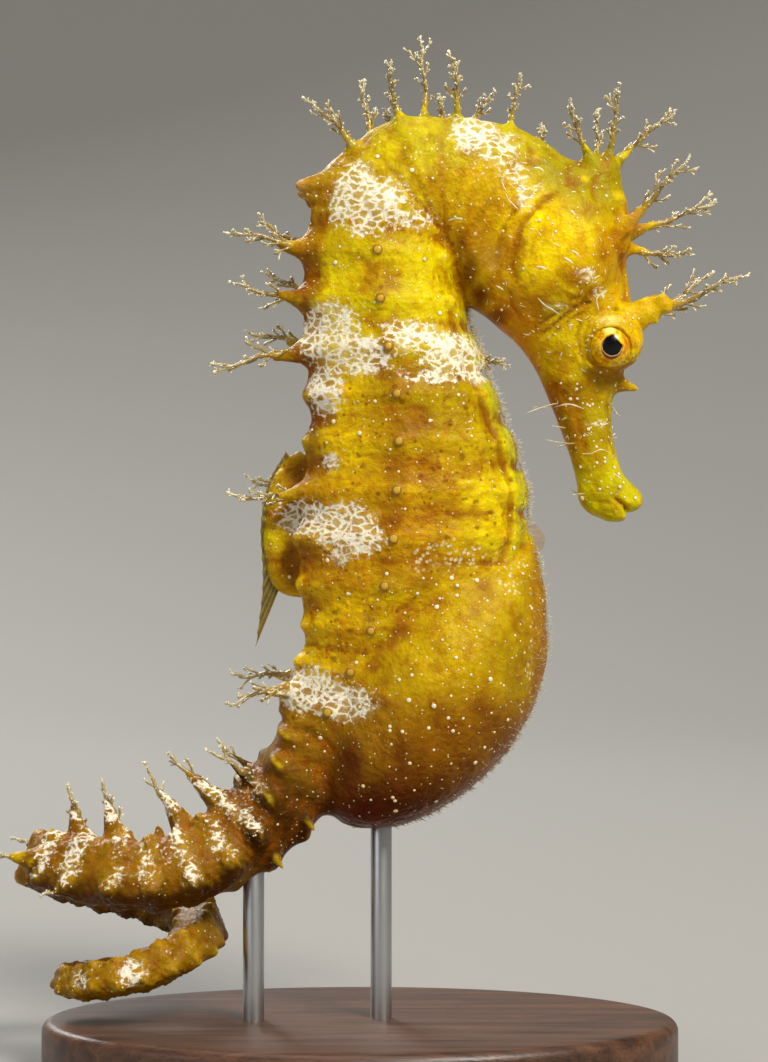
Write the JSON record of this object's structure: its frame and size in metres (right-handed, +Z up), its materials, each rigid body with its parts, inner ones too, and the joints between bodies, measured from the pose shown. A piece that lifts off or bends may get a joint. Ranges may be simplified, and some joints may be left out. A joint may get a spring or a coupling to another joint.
{
  "type": "seahorse model",
  "caption": "Life-size still model of a long-snouted seahorse with skin filaments, a brood pouch and a tail coiled round an upright axis, held by rods on an oval base.",
  "frame": {"origin": "centre of the display stand's flat underside", "axes": "+X the way the animal's head faces, +Y to the animal's left, +Z up from the stand to the crown"},
  "size_m": [0.0623, 0.036, 0.0876],
  "materials": {
    "skin": "wet satin skin over bony rings, golden yellow with white lace marks",
    "pouch_skin": "smooth wet skin, golden above and red-brown below",
    "fin": "thin rayed membrane, yellow with brown",
    "eye": "clear cornea over a golden iris and a dark pupil",
    "stand_wood": "dark stained, satin lacquer",
    "stand_steel": "fine drawn rod"
  },
  "bodies": {
    "root": {"mouth": "skin", "snout": "skin", "head": "skin", "coronet": "skin", "gill_cover_right": "skin", "gill_cover_left": "skin", "eye_right": "eye", "eye_left": "eye", "neck": "skin", "trunk_upper": "skin", "trunk_middle": "skin", "trunk_lower": "skin", "pouch": "pouch_skin", "tail_1": "skin", "tail_2": "skin", "tail_3": "skin", "tail_4": "skin", "tail_5": "skin", "tail_6": "skin", "tail_7": "skin", "dorsal_fin": "fin", "pectoral_fin_right": "fin", "pectoral_fin_left": "fin", "anal_fin": "fin", "stand_base": "stand_wood", "stand_rod_front": "stand_steel", "stand_rod_rear": "stand_steel"}
  },
  "joints": []
}
